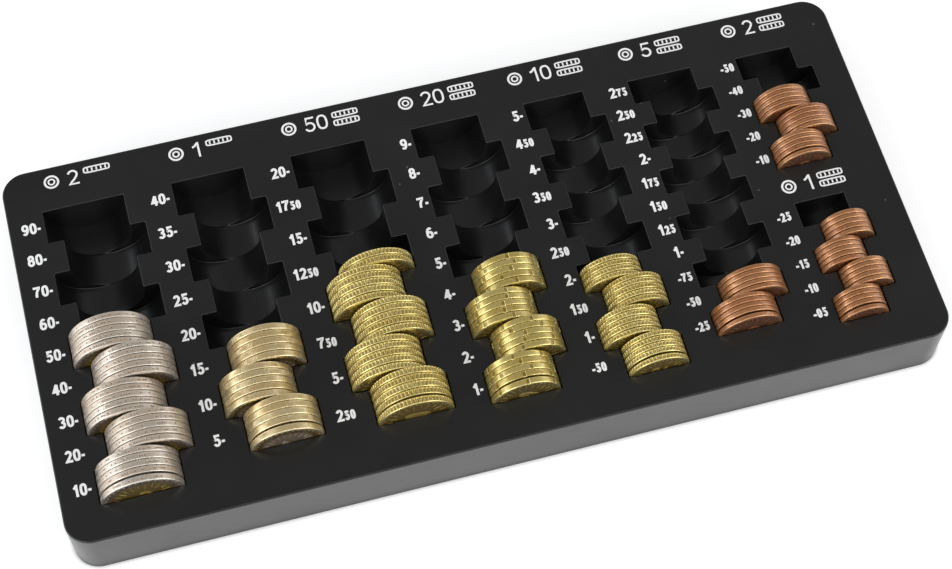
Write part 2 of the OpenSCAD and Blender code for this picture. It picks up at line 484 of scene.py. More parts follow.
def chute_skin(column, radius, top, wall):
    """Grid of points over a chute, from its rear end to its front end.
    For the under skin, wall moves each step by one wall's thickness away from the wider side."""
    sections = [row_section(column, row, radius, top) for row in range(column.count)]
    count = len(sections[0])
    middle = count // 2
    sides = np.sign(middle - np.arange(count))
    rear, front = column.rear + wall, column.front - wall

    def level(section, y):
        return np.concatenate([section, np.full((count, 1), y)], -1)[None]

    rows = [level(sections[0], rear), level(sections[0], rear - EDGE_GUARD)]
    for row in range(column.count - 1):
        points, along = step_path(sections[row], sections[row + 1], EDGE_ROUND)
        shift = -wall * sides * (1 if row % 2 == 0 else -1)
        y = column.rear - (row + 1) * column.length + along[:, None] + shift[None, :]
        rows.append(np.concatenate([points, y[..., None]], -1))
    rows += [level(sections[-1], front + EDGE_GUARD), level(sections[-1], front)]
    return np.concatenate(rows)[..., [0, 2, 1]]


print("points across a chute:", len(row_section(columns[0], 0, columns[0].radius, DECK_TOP)))

# %% [markdown]
# A mould leaves no sharp edge outside either. Small quarter rounds lead from the slots to
# the deck and from the deck to the outer wall. They draw the thin light lines round both.

# %% Rims and outlines
RIM_ROUND = 0.35 * MM
RIM_STEPS = 4
TOP_EDGE_ROUND = 0.6 * MM
TOP_EDGE_STEPS = 6
FOOT_ROUND = 0.15 * MM
FOOT_STEPS = 3
CORNER_RADIUS = 8.0 * MM
CORNER_STEPS = 14


def outline_of(skin):
    """Closed outline of a chute at the deck: down its left edge and back up its right."""
    return np.concatenate([skin[:, 0], skin[::-1, -1]])


def widen(outline, distance):
    """Outline moved outwards in plan. At each point the two neighbouring edges have normals n and m,
    and the point moves by distance (n + m) / (1 + n . m)."""
    plan = outline[:, :2]
    ahead = np.roll(plan, -1, 0) - plan
    ahead /= np.linalg.norm(ahead, axis=1, keepdims=True)
    normal = np.stack([ahead[:, 1], -ahead[:, 0]], -1)
    before = np.roll(normal, 1, 0)
    move = (normal + before) / (1 + (normal * before).sum(1, keepdims=True))
    moved = outline.copy()
    moved[:, :2] += move * distance
    return moved


def rim_rings(outline, radius, top):
    """Quarter round from a vertical side to the deck: r (1 - cos f) outwards and r sin f up."""
    rings = []
    for rising, falling in quarter_round(RIM_STEPS):
        ring = widen(outline, radius * rising)
        ring[:, 2] = top - radius * falling
        rings.append(ring)
    return np.stack(rings)


def tray_ring(inset, z):
    """Outline of the tray with its round corners, moved inwards by inset, at height z."""
    half = np.array([cad_box[1][0], cad_box[1][1]]) - CORNER_RADIUS
    turn = quarter_turn(CORNER_STEPS)
    arcs = []
    for quarter, (sx, sy) in enumerate([(1, 1), (-1, 1), (-1, -1), (1, -1)]):
        angle = turn + quarter * math.pi / 2
        reach = CORNER_RADIUS - inset
        arcs.append(np.stack([sx * half[0] + reach * np.cos(angle), sy * half[1] + reach * np.sin(angle),
                              np.full(len(angle), z)], -1))
    return np.concatenate(arcs)


def wall_rings():
    """Rings over the outer wall: the round top edge, the face, the foot and the inner face."""
    stations = [(TOP_EDGE_ROUND * falling, DECK_TOP - TOP_EDGE_ROUND * rising)
                for rising, falling in quarter_round(TOP_EDGE_STEPS)]
    foot = quarter_round(FOOT_STEPS)
    stations += [(FOOT_ROUND * rising, FOOT_ROUND * falling) for rising, falling in foot]
    stations += [(OUTER_WALL - FOOT_ROUND * falling, FOOT_ROUND * rising) for rising, falling in foot]
    stations.append((OUTER_WALL, DECK_UNDER))
    return np.stack([tray_ring(inset, z) for inset, z in stations])


def flat_plate(basket, outer, holes):
    """A level face with holes, cut into triangles."""
    loops = [outer] + holes
    triangles = tessellate_polygon([[Vector(point) for point in loop] for loop in loops])
    basket.add(np.concatenate(loops), triangles)


# %% [markdown]
# The skins, rims, walls and plates are welded into one shell. It is closed when the count
# of open edges is nought.

# %% Build the moulding
WELD = 0.001 * MM
EVEN_LIGHT_WEIGHT = 80


def build_moulding():
    basket = Basket()
    top_holes, under_holes = [], []
    for column in columns:
        upper = chute_skin(column, column.radius, DECK_TOP - RIM_ROUND, 0.0)
        rings = rim_rings(outline_of(upper), RIM_ROUND, DECK_TOP)
        under = chute_skin(column, column.radius + CHUTE_WALL, DECK_UNDER, CHUTE_WALL)
        basket.add_grid(upper)
        basket.add_grid(rings, around=True)
        basket.add_grid(under)
        for skin in (upper, under):
            for end in (skin[0], skin[-1]):
                basket.add(end, [np.arange(len(end))])
        top_holes.append(rings[-1])
        under_holes.append(outline_of(under))
    wall = wall_rings()
    basket.add_grid(wall, around=True)
    flat_plate(basket, wall[0], top_holes)
    flat_plate(basket, wall[-1], under_holes)
    return basket.mesh("tray_moulding", weld=WELD)


TRAY_NODES = ["deck", "front_wall", "rear_wall", "left_wall", "right_wall"]
TRAY_NODES += ["chute_" + column.name for column in columns]
moulding = put("tray_moulding", build_moulding(), [black_plastic], "tray")
even_light = moulding.modifiers.new("even_light", "WEIGHTED_NORMAL")
even_light.weight = EVEN_LIGHT_WEIGHT
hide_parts(*TRAY_NODES)
print("moulding:", len(moulding.data.polygons), "faces")

# %% [markdown]
# ## Numbers
# Each numeral is a line of arcs and straight parts in a box one unit wide and high. Half
# the pen's width is added on each side of it, so one set of strokes gives the bold small
# numbers and the light large ones.

# %% Strokes of the numerals
SAME_POINT = 0.01 * MM


def arc(x, y, rx, ry, start, end, count=14):
    """Points of an ellipse: (x + rx cos a, y + ry sin a), with a from start to end in degrees."""
    angle = np.radians(np.linspace(start, end, count))
    return np.stack([x + rx * np.cos(angle), y + ry * np.sin(angle)], -1)


def line(*points):
    return np.array(points, float)


def rounded_loop(x, y, rx, ry, power):
    """Closed curve between an ellipse and a box: each coordinate is cos or sin to a power below one."""
    angle = np.linspace(0, 2 * math.pi, 33)
    shape = [np.sign(f) * np.abs(f) ** power for f in (np.cos(angle), np.sin(angle))]
    return np.stack([x + rx * shape[0], y + ry * shape[1]], -1)


SIX = [rounded_loop(0.5, 0.29, 0.5, 0.29, 0.88),
       np.concatenate([arc(0.60, 0.40, 0.60, 0.60, 188, 100, 12), arc(0.50, 0.80, 0.42, 0.20, 78, 22, 6)])]
STROKES = {
    "0": [rounded_loop(0.5, 0.5, 0.5, 0.5, 0.80)],
    "1": [line((0.0, 0.72), (0.35, 0.80), (0.72, 1.0)), line((0.80, 1.1), (0.80, -0.1))],
    "2": [np.concatenate([arc(0.50, 0.72, 0.48, 0.28, 165, -25),
                          line((0.64, 0.36), (0.28, 0.15), (0.06, 0.0), (1.1, 0.0))])],
    "3": [np.concatenate([arc(0.46, 0.765, 0.46, 0.235, 158, -90), line((0.32, 0.53))]),
          np.concatenate([line((0.32, 0.53)), arc(0.47, 0.265, 0.50, 0.265, 90, -158)])],
    "4": [line((0.76, -0.1), (0.76, 0.98)), line((0.72, 1.0), (0.0, 0.24), (1.1, 0.24))],
    "5": [np.concatenate([line((1.06, 1.0), (0.20, 1.0), (0.06, 0.50)),
                          arc(0.46, 0.31, 0.52, 0.31, 138, -158)])],
    "6": SIX,
    "7": [np.concatenate([line((-0.1, 1.0), (0.98, 1.0)), arc(1.30, 0.0, 0.98, 0.94, 112, 182, 10)])],
    "8": [rounded_loop(0.5, 0.77, 0.43, 0.23, 0.9), rounded_loop(0.5, 0.27, 0.5, 0.27, 0.9)],
    "9": [1 - stroke for stroke in SIX],
    "-": [line((-0.1, 0.34), (1.1, 0.34))],
}


def fit_box(stroke, pen, width, height):
    """A stroke set in its box with room for the pen. A coordinate from 0 to 1 is for the middle of the
    line, and a tenth less or more reaches the outside of the box, where the pen would stop."""
    inside = np.clip(stroke, 0.0, 1.0)
    return inside * (width - pen, height - pen) + pen / 2 + (stroke - inside) * 5 * pen


def pen_stroke(points, width):
    """Left and right edge of a drawn line: each point moved half the pen's width along its normal.
    Says too whether the line ends where it began; its last point is then left out."""
    keep = np.concatenate([[True], np.linalg.norm(np.diff(points, axis=0), axis=1) > SAME_POINT])
    points = points[keep]
    closed = np.linalg.norm(points[0] - points[-1]) < SAME_POINT
    ahead = np.diff(points, axis=0)
    ahead /= np.linalg.norm(ahead, axis=1, keepdims=True)
    first, last = (ahead[-1], ahead[0]) if closed else (ahead[0], ahead[-1])
    before, after = np.vstack([first, ahead]), np.vstack([ahead, last])
    corner = np.maximum(1 + (before * after).sum(1, keepdims=True), 0.5)
    move = (before + after) / corner * width / 2
    normal = np.stack([-move[:, 1], move[:, 0]], -1)
    until = len(points) - 1 if closed else len(points)
    return (points + normal)[:until], (points - normal)[:until], closed


def add_stroke(basket, points, pen, place, thick):
    """Adds a drawn line as a thin closed plate. place carries plan points and a height to the piece."""
    left, right, closed = pen_stroke(points, pen)
    rings = np.stack([place(left, 0.0), place(left, thick), place(right, thick), place(right, 0.0)], 1)
    if closed:
        basket.add_grid(rings, around=True, closed=True)
    else:
        basket.add_rod(rings)


def add_numeral(basket, sign, x, y, width, height, pen, place, thick):
    """The strokes of a sign. Where two cross, one has to be on top, so each is a little thicker than the
    one before."""
    for number, stroke in enumerate(STROKES[sign]):
        points = fit_box(stroke, pen, width, height) + (x, y)
        add_stroke(basket, points, pen, place, thick * (1 + 0.2 * number))


# %% [markdown]
# A number stands on the left of each row. Some end in smaller digits on the same foot.

# %% Print on the deck
INK = 0.02 * MM
LABEL_HEIGHT = 4.0 * MM
LABEL_WIDTH = 2.26 * MM
LABEL_PEN = 0.80 * MM
LABEL_GAP = 0.24 * MM
NARROW_ONE = 0.86
DASH_WIDTH = 1.0 * MM
SMALL_TALL = 0.80
SMALL_WIDE = 0.70
# For each column, in mm: from the slot back to a number's end, the same if it ends in small signs, and the
# foot of a number before the middle of its row, at the rear and at the front
LABEL_PLACES = {
    "2_euro": (1.50, 1.50, 1.45, 1.45), "1_euro": (1.55, 1.55, 0.75, 1.90),
    "50_cent": (1.45, 0.60, 0.75, 2.00), "20_cent": (1.15, 1.15, 1.30, 1.60),
    "10_cent": (1.35, 0.65, 0.60, 1.20), "5_cent": (1.40, 1.40, 0.70, 1.40),
    "2_cent": (1.45, 1.45, 0.10, 1.35), "1_cent": (2.70, 2.70, 1.10, 1.10),
}


def on_deck(points, z):
    """Plan points of the print, set on the deck."""
    return np.concatenate([points, np.full((len(points), 1), DECK_TOP + z)], -1)


def sign_width(sign, width=LABEL_WIDTH):
    if sign == "-":
        return DASH_WIDTH
    return width * (NARROW_ONE if sign == "1" else 1.0)


def add_label(basket, text, right, foot):
    """A row's number, ending at right and standing on foot. The signs after ^ are small, and so is a whole
    number that starts with a dash."""
    large, small = text.split("^") if "^" in text else ("", text) if text[0] == "-" else (text, "")
    signs = [(sign, sign_width(sign), 1.0) for sign in large]
    signs += [(sign, sign_width(sign, LABEL_WIDTH * SMALL_WIDE), SMALL_TALL) for sign in small]
    x = right - sum(width + LABEL_GAP for sign, width, tall in signs) + LABEL_GAP
    for sign, width, tall in signs:
        pen = LABEL_PEN * (0.4 + 0.6 * tall)
        add_numeral(basket, sign, x, foot, width, LABEL_HEIGHT * tall, pen, on_deck, INK)
        x += width + LABEL_GAP


def build_labels():
    basket = Basket()
    for column in columns:
        end, small_end, first, last = (number * MM for number in LABEL_PLACES[column.name])
        for row, text in enumerate(column.labels):
            middle = column.rear - (row + 0.5) * column.length
            foot = middle - first - (last - first) * row / (column.count - 1)
            add_label(basket, text, column.left - (small_end if "^" in text or text == "-50" else end), foot)
    return basket.mesh("row_numbers", smooth=False)


row_numbers = put("row_numbers", build_labels(), [white_print], "tray")
print("row numbers:", len(row_numbers.data.polygons), "faces")

# %% [markdown]
# ## Column heads
# Above each column stands the value of its coin, between two plain signs: a coin from the
# front, which is two rings, and a coin from the side, which is a flat box with teeth. One
# coin on its side stands for whole units and two for hundredths.

# %% Signs of the column heads
HEAD_HEIGHT = 5.6 * MM
HEAD_WIDTH = 3.6 * MM
HEAD_PEN = 0.68 * MM
HEAD_GAP = 0.55 * MM
HEAD_BACK = 5.7 * MM
HEAD_FRONT = 6.4 * MM
RING_SIZE = 5.0 * MM
RING_GAP = 2.7 * MM
SIDE_GAP = 1.7 * MM
SIDE_WIDTH = 8.8 * MM
SIDE_HEIGHT = 2.5 * MM
SIDE_PITCH = 3.1 * MM
SIDE_PEN = 0.50 * MM
SIDE_TEETH = 6


def add_ring_sign(basket, x, middle):
    """A coin from the front: an outer ring and a thinner one inside it."""
    for share, pen in ((0.5, HEAD_PEN), (0.25, 0.8 * HEAD_PEN)):
        ring = arc(0.0, 0.0, 1.0, 1.0, 0, 360, 41) * (share * RING_SIZE - pen / 2)
        add_stroke(basket, ring + (x + RING_SIZE / 2, middle), pen, on_deck, INK)


def add_side_sign(basket, x, top):
    """A coin from the side: a box with round corners, and upright teeth inside it."""
    box = fit_box(rounded_loop(0.5, 0.5, 0.5, 0.5, 0.35), SIDE_PEN, SIDE_WIDTH, SIDE_HEIGHT)
    add_stroke(basket, box + (x, top - SIDE_HEIGHT), SIDE_PEN, on_deck, INK)
    for tooth in range(1, SIDE_TEETH):
        across = x + SIDE_WIDTH * tooth / SIDE_TEETH
        upright = line((across, top - 0.25 * SIDE_HEIGHT), (across, top - 0.75 * SIDE_HEIGHT))
        add_stroke(basket, upright, SIDE_PEN, on_deck, INK)


def add_head(basket, column, middle):
    """The three signs of a column's head, centred on the column's unstepped slot."""
    widths = [sign_width(sign, HEAD_WIDTH) for sign in column.value]
    numeral = sum(widths) + HEAD_GAP * (len(widths) - 1)
    whole = RING_SIZE + RING_GAP + numeral + SIDE_GAP + SIDE_WIDTH
    x = column.left + column.radius - whole / 2
    add_ring_sign(basket, x, middle)
    x += RING_SIZE + RING_GAP
    for sign, width in zip(column.value, widths):
        add_numeral(basket, sign, x, middle - HEAD_HEIGHT / 2, width, HEAD_HEIGHT, HEAD_PEN, on_deck, INK)
        x += width + HEAD_GAP
    for bar in range(column.bars):
        add_side_sign(basket, x - HEAD_GAP + SIDE_GAP, middle + HEAD_HEIGHT / 2 - bar * SIDE_PITCH)


def build_heads():
    """Heads stand in one line along the rear edge, and the last one in front of its own column."""
    basket = Basket()
    for column in columns:
        alone = column.name == "1_cent"
        add_head(basket, column, column.rear + HEAD_FRONT if alone else cad_box[1][1] - HEAD_BACK)
    return basket.mesh("column_heads", smooth=False)


column_heads = put("column_heads", build_heads(), [white_print], "tray")
print("column heads:", len(column_heads.data.polygons), "faces")

# %% [markdown]
# ## Coin metal
# The coins have been used: raised rims are rubbed bright, low places are brown, and no two
# have quite the same tone. Each point of a coin stores two numbers for that: how high it
# stands, from 0 in a recess to 1 on the rim, and a tone that is the coin's own. The sunk
# faces are marked lower than they stand, which paints shade on them.

# %% Coin metals
# Near black of the deepest places: partly soot, partly painted shade on the sunk faces and grooves
SOOT_AND_SHADE = (0.045, 0.030, 0.015, 1)
GREASE = 0.8
GREASE_ROUGH = 0.22


def make_metal(name, clean, brown, rough):
    """Worn metal: clean on the high places and brown in the low ones, and browner where the tone is high.
    Grime is no metal, so the grimier a place is, the less it mirrors. The deepest places, the sunk faces
    among them, are almost black: partly soot and partly painted shade.
    A film of grease over it all whitens the brightest glints."""
    material, tree, shader, place = start_material(name)
    high = add_node(tree, "Attribute", {"attribute_name": "high"}).outputs["Fac"]
    tone = add_node(tree, "Attribute", {"attribute_name": "tone"}).outputs["Fac"]
    patches = use_group(tree, handling, Place=place, Scale=420.0, Roughness=rough, Spread=0.12)
    grain = use_group(tree, fine_grain, Place=place, Scale=2600.0)
    low = minus(tree, 0.80, high)
    mottled = span(tree, noise(tree, place, 1300.0, 3.0, 0.6), 0.35, 0.68, -0.16, 0.20)
    # The brown share: grime, wear and tone, and also the low marks that paint shade on the sunk faces
    dirt_and_shade = plus(tree, plus(tree, low, mottled), times(tree, patches.outputs["Mask"], 0.30))
    toned = plus(tree, dirt_and_shade, times(tree, tone, 0.25), clamp=True)
    colour = blend_colours(tree, toned, clean, brown)
    # The deepest places, the sunk faces among them, go towards near black: partly soot and partly painted
    # shade
    soot_and_shade_share = span(tree, high, 0.05, 0.35, 0.8, 0.0)
    rougher = plus(tree, patches.outputs["Roughness"], times(tree, toned, 0.15))
    connect(tree, shader, Base_Color=blend_colours(tree, soot_and_shade_share, colour, SOOT_AND_SHADE), Roughness=rougher,
            Metallic=minus(tree, 0.95, times(tree, toned, 0.45)), Coat_Weight=GREASE,
            Coat_Roughness=GREASE_ROUGH, Normal=bump(tree, grain.outputs["Height"], 0.25, 0.03 * MM))
    return material


silver_metal = make_metal("white_coin_metal", (0.77, 0.72, 0.64, 1), (0.50, 0.36, 0.24, 1), 0.28)
pale_gold_metal = make_metal("pale_yellow_coin_metal", (0.92, 0.80, 0.49, 1), (0.44, 0.25, 0.045, 1), 0.26)
gold_metal = make_metal("yellow_coin_metal", (0.88, 0.75, 0.29, 1), (0.37, 0.235, 0.012, 1), 0.21)
copper_metal = make_metal("copper_coin_metal", (0.68, 0.36, 0.16, 1), (0.27, 0.06, 0.006, 1), 0.32)
print("coin metals are ready")

# %% [markdown]
# ## Coins
# A coin is spun from its section: a sunk face, a raised rim and worn shoulders. Its edge
# also has a pattern, which tells the values apart by touch, so the distance from the axis
# changes with the angle too. Both together still make one closed grid.

# %% Edges of the coins
SHOULDER = 0.36 * MM
SHOULDER_STEPS = 4
WORN_OFF = 0.10 * MM
FACE_DEPTH = 0.16 * MM
RIM_WIDTH = 1.15 * MM
CORE_GROOVE = 0.12 * MM
EDGE_GROOVE = 0.16 * MM
DOT_DEPTH = 0.10 * MM
# How high some places stand, for the grime in them. The sunk face and its relief are marked lower
# than they stand, to paint shade on the front faces.
SHADED_FACE_MARK = 0.1
SHADED_RELIEF_MARK = 0.35
EDGE_MARK = 0.5


def no_pattern(turn):
    return 0 * turn


def scallops(turn):
    """Narrow round notches: ((1 + cos 2 pi t) / 2) squared, where t is the share of a notch's pitch."""
    return ((1 + np.cos(2 * math.pi * turn)) / 2) ** 2


def fine_teeth(turn):
    """Teeth: 1 in the first half of each pitch and 0 in the second."""
    return (turn % 1.0 < 0.5).astype(float)


def three_bands(turn):
    """Teeth in three of six equal stretches, with 25 to a stretch."""
    return fine_teeth(turn) * (turn // 25 % 2)


def seven_notches(turn):
    """One notch to a pitch, an eighth of it wide: 1 in its middle, and falling to 0 on both sides."""
    return np.clip(2.6 - np.abs(turn % 1.0 - 0.5) * 40, 0, 1)


def coin_kind(face, core, core_share, slot, points, pattern, count, depth, dirt_and_shade=0.0, dots=0):
    """A value's coin: metals of its ring and core, the core's share of the radius, the slot, the points
    round the edge, and the edge's pattern with its count and depth in mm, how much its notches are
    darkened (partly grime, partly painted shade) and its dots."""
    return SimpleNamespace(metals=(face, core), core_share=core_share, slot=slot, points=points,
                           pattern=pattern, count=count, depth=depth * MM, dirt_and_shade=dirt_and_shade, dots=dots)


COIN_KINDS = {
    "2_euro": coin_kind(silver_metal, gold_metal, 0.73, "silver_coin", 320, fine_teeth, 160, 0.02, dots=40),
    "1_euro": coin_kind(pale_gold_metal, silver_metal, 0.71, "gold_coin", 300, three_bands, 150, 0.05),
    "50_cent": coin_kind(gold_metal, gold_metal, 0, "gold_coin", 360, scallops, 60, 0.32, dirt_and_shade=0.30),
    "20_cent": coin_kind(gold_metal, gold_metal, 0, "gold_coin", 336, seven_notches, 7, 0.26, dirt_and_shade=0.30),
    "10_cent": coin_kind(gold_metal, gold_metal, 0, "gold_coin", 294, scallops, 49, 0.30, dirt_and_shade=0.30),
    "5_cent": coin_kind(copper_metal, copper_metal, 0, "copper_coin", 120, no_pattern, 1, 0),
    "2_cent": coin_kind(copper_metal, copper_metal, 0, "copper_coin", 112, no_pattern, 1, 0),
    "1_cent": coin_kind(copper_metal, copper_metal, 0, "copper_coin", 104, no_pattern, 1, 0),
}
GROOVED = "2_cent"
rng = np.random.default_rng(11)

# %% [markdown]
# The section runs from the face over the shoulder to the middle of the edge. Each of its
# points also says how high it stands and how much of the edge's pattern reaches it.

# %% Section of a coin


def half_section(kind, radius, thick, struck):
    """Half of a coin's section, as rows of (distance from the axis, place along it, height mark,
    share of the edge pattern, share of the dots). The shoulder between the face and the edge is a
    quarter round: (R - s + s sin f, s - s cos f)."""
    rows = []
    if struck:
        if kind.core_share:
            core = kind.core_share * radius
            rows += [(core, FACE_DEPTH, SHADED_FACE_MARK, 0, 0),
                     (core + CORE_GROOVE / 2, FACE_DEPTH + CORE_GROOVE / 2, 0, 0, 0),
                     (core + CORE_GROOVE, FACE_DEPTH, SHADED_FACE_MARK, 0, 0)]
        inside = radius - RIM_WIDTH
        rows += [(inside - 0.15 * MM, FACE_DEPTH, SHADED_FACE_MARK, 0, 0), (inside, 0.03 * MM, 0.8, 0, 0),
                 (inside + 0.12 * MM, 0, 1, 0, 0)]
    through = 1 if kind.pattern is seven_notches else 0
    for turn in quarter_turn(SHOULDER_STEPS):
        rows.append((radius - SHOULDER * (1 - math.sin(turn)), SHOULDER * (1 - math.cos(turn)),
                     1 - 0.35 * turn / (math.pi / 2), through * math.sin(turn), 0))
    rows += [(radius, SHOULDER + 0.06 * MM, 0.55, 1, 0), (radius, 0.36 * thick, EDGE_MARK, 1, 0),
             (radius, 0.42 * thick, EDGE_MARK, 1, 1)]
    return np.array(rows)


def coin_section(name, radius, thick, struck):
    """Whole section: the half section, and the same turned about at the middle of the thickness."""
    half = half_section(COIN_KINDS[name], radius, thick, struck)
    rear = half[::-1] * (1, -1, 1, 1, 1) + (0, thick, 0, 0, 0)
    groove = [[(radius - EDGE_GROOVE, thick / 2, 0, 0, 0)]] if name == GROOVED else []
    return np.concatenate([half, *groove, rear])


def coin_grid(name, radius, thick, struck):
    """Points of a coin with its axis along Y and its front face at y = 0, their height marks, and which
    faces of the grid belong to teeth and stay flat. The distance from the axis is the section's, less the
    edge pattern and the dots that some coins have."""
    kind = COIN_KINDS[name]
    section = coin_section(name, radius, thick, struck)
    angle = np.linspace(2 * math.pi, 0, kind.points, endpoint=False)
    cut = kind.pattern(angle / (2 * math.pi) * kind.count)[None, :] * section[:, 3:4] * kind.depth
    chosen = np.zeros(kind.points)
    if kind.dots:
        starts = rng.choice(kind.points // 3, kind.dots, replace=False) * 3
        chosen[starts] = chosen[(starts + 1) % kind.points] = 1.0
    dots = chosen[None, :] * section[:, 4:5]
    reach = section[:, :1] - cut - dots * DOT_DEPTH
    along = np.repeat(section[:, 1:2], kind.points, 1)
    points = np.stack([reach * np.cos(angle), along, reach * np.sin(angle)], -1)
    sunk = cut / max(kind.depth, 1e-9)
    # Notch bottoms are marked lower, which darkens them: partly grime and partly painted shade. Dot pits are
    # marked lower too.
    high = np.clip(section[:, 2:3] - kind.dirt_and_shade * sunk - 0.4 * dots, 0, 1)
    toothed = (section[:-1, 3] > 0) & (kind.pattern in (fine_teeth, three_bands, seven_notches))
    return points, high, np.repeat(toothed, kind.points)


print("kinds of coin:", len(COIN_KINDS))

# %% [markdown]
# ## What is struck on the faces
# These coins carry a plain design: the value as a large numeral, rays around it and a ring
# of beads inside the rim. Only the front coin of a row shows its face, so only that one
# gets the design. The rearmost coin has a sunk face and a rim, but no relief.

# %% Relief of the faces
RELIEF = 0.07 * MM
BEADS = 36
BEAD_SIZE = 0.22 * MM
RAYS = 24
RAY_PEN = 0.20 * MM
NUMERAL_SHARE = 0.16


def add_bead(basket, middle, place):
    """A bead: a six-sided foot, a smaller top and two lids."""
    foot = arc(0, 0, BEAD_SIZE, BEAD_SIZE, 0, 300, 6)
    basket.add_rod(np.stack([place(middle + foot, 0.0), place(middle + 0.55 * foot, 0.8 * RELIEF)]))


def add_relief(basket, name, radius):
    """The design of a front face: the numeral in the middle, rays around it and beads inside the rim."""
    kind = COIN_KINDS[name]

    def place(points, height):
        y = np.full(len(points), FACE_DEPTH - height)
        return np.stack([points[:, 0], y, points[:, 1]], -1)

    field = radius - RIM_WIDTH - 0.25 * MM
    inner = kind.core_share * radius if kind.core_share else field - 2.2 * BEAD_SIZE
    design, middle_metal = len(basket.faces), 1 if kind.core_share else 0
    value = name.split("_")[0]
    tall = 0.80 * inner
    wide = 0.62 * tall / len(value) ** 0.5
    gap = 0.12 * tall
    left = -(wide * len(value) + gap * (len(value) - 1)) / 2
    for sign in value:
        add_numeral(basket, sign, left, -tall / 2, wide, tall, NUMERAL_SHARE * tall, place, RELIEF)
        left += wide + gap
    for ray in range(RAYS):
        angle = 2 * math.pi * ray / RAYS
        way = np.array([math.cos(angle), math.sin(angle)])
        ends = np.array([(0.66 if ray % 2 else 0.76) * inner * way, 0.94 * inner * way])
        add_stroke(basket, ends, RAY_PEN, place, 0.8 * RELIEF)
    basket.kinds[design:] = [middle_metal] * (len(basket.faces) - design)
    for bead in range(BEADS):
        angle = 2 * math.pi * bead / BEADS
        add_bead(basket, np.array([math.cos(angle), math.sin(angle)]) * (field - 1.1 * BEAD_SIZE), place)


# %% [markdown]
# ## Coins in their rows
# Coins in a tray are never quite in line. Each is turned about its axis by chance, and
# tilted and moved by a hair. The front coin of a column leans forwards more than others.

# %% Build a row of coins
LEAN = 0.07 * MM
FRONT_LEAN = 0.45 * MM
BACK = 0.12 * MM
TILT = math.radians(0.06)
NUDGE = 0.06 * MM


def build_coin(name, radius, thick, number, whole):
    """One coin at the origin, with a design on it if it is the front coin of a row.
    Gives a basket, the height marks of its points, and which of its faces are smooth."""
    kind = COIN_KINDS[name]
    struck = number in (0, whole - 1)
    points, high, toothed = coin_grid(name, radius, thick, struck)
    coin = Basket()
    coin.add_rod(points, 0, 1 if struck and kind.core_share else 0)
    marks, smooth = high.ravel(), np.concatenate([~toothed, [False, False]])
    if number == 0:
        add_relief(coin, name, radius)
        marks = np.concatenate([marks, np.full(coin.total - len(marks), SHADED_RELIEF_MARK)])
        smooth = np.concatenate([smooth, np.zeros(len(coin.faces) - len(smooth), bool)])
    return coin, marks, smooth


def settle(points, radius, lean):
    """Turns a coin about its axis by chance and sets it in its row, a hair back and out of true. A coin
    that leans forwards by lean at its top leans by (z + R) / 2 R of it at height z."""
    turn = rng.uniform(0, 2 * math.pi)
    x = points[:, 0] * math.cos(turn) - points[:, 2] * math.sin(turn)
    z = points[:, 0] * math.sin(turn) + points[:, 2] * math.cos(turn)
    tilt, twist = rng.uniform(-TILT, TILT, 2)
    y = points[:, 1] + BACK + x * twist + z * tilt - lean * (z + radius) / (2 * radius)
    return np.stack([x + rng.uniform(-NUDGE, NUDGE), y, z - rng.uniform(0, NUDGE)], -1)


def lean_of(column, row, number, whole):
    """How far the top of a coin leans forwards. The front coin of a column has only the deck to lean on,
    and a row with coins missing behind it leans as a whole."""
    if whole < COINS_PER_ROW:
        return FRONT_LEAN
    return (FRONT_LEAN if row == column.count - 1 else LEAN) if number == 0 else 0.0


def row_node(column, row):
    """The model's name for a row of coins. Rows count from 0 here and from 1 there."""
    return f"coins_{column.name}_row_{row + 1}"


def coin_thickness(column):
    """Thickness of a column's coins, from its last row, which is full: n coins and n - 1 gaps."""
    low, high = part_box(f"coins_{column.name}_row_{column.count}")
    return (high.y - low.y - (COINS_PER_ROW - 1) * COIN_GAP) / COINS_PER_ROW


def build_stack(column, row):
    """The coins of one row, each inside the space that its solid in the model has."""
    node = row_node(column, row)
    low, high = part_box(node)
    radius = (high.z - low.z) / 2
    thick = coin_thickness(column)
    whole = round((high.y - low.y + COIN_GAP) / (thick + COIN_GAP))
    origin = np.array([(low.x + high.x) / 2, low.y, (low.z + high.z) / 2])
    basket, highs, tones, smooths = Basket(), [], [], []
    for number in range(whole):
        coin, marks, smooth = build_coin(column.name, radius, thick - WORN_OFF, number, whole)
        points = settle(np.concatenate(coin.points), radius, lean_of(column, row, number, whole))
        basket.add(points + origin + (0, number * (thick + COIN_GAP), 0), coin.faces, coin.kinds)
        highs.append(marks)
        tones.append(np.full(len(points), rng.uniform()))
        smooths.append(smooth)
    mesh = basket.mesh(node + "_struck", smooth=np.concatenate(smooths))
    return node, mesh, np.concatenate(highs), np.concatenate(tones)


def store_marks(mesh, name, values):
    mark = mesh.attributes.new(name, "FLOAT", "POINT")
    mark.data.foreach_set("value", np.asarray(values, np.float32))


stacks = []
for column in columns:
    kind = COIN_KINDS[column.name]
    for row in range(column.count):
        if row_node(column, row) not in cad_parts:
            continue
        node, mesh, highs, tones = build_stack(column, row)
        store_marks(mesh, "high", highs)
        store_marks(mesh, "tone", tones)
        stack = put(node + "_struck", mesh, kind.metals, "stack_" + node[len("coins_"):])
        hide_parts(node)
        stacks.append(stack)
triangles = sum(len(face.vertices) - 2 for stack in stacks for face in stack.data.polygons)
print("rows of coins:", len(stacks), "triangles:", triangles)

# %% [markdown]
# ## Floor and light
# The front wall looks grey only because it mirrors the white floor at a low angle, so the
# floor matters as much as the lamps. Light Path lifts the floor to white for the camera
# and in the mirror, but not close to the tray: there the lift fades out, which paints
# a thin shadow line under it.

# %% Floor
FLOOR_SIZE = 4.0
FLOOR_WHITE = 0.80
FLOOR_LIFT = 0.45
FLOOR_MIRRORED = 0.63
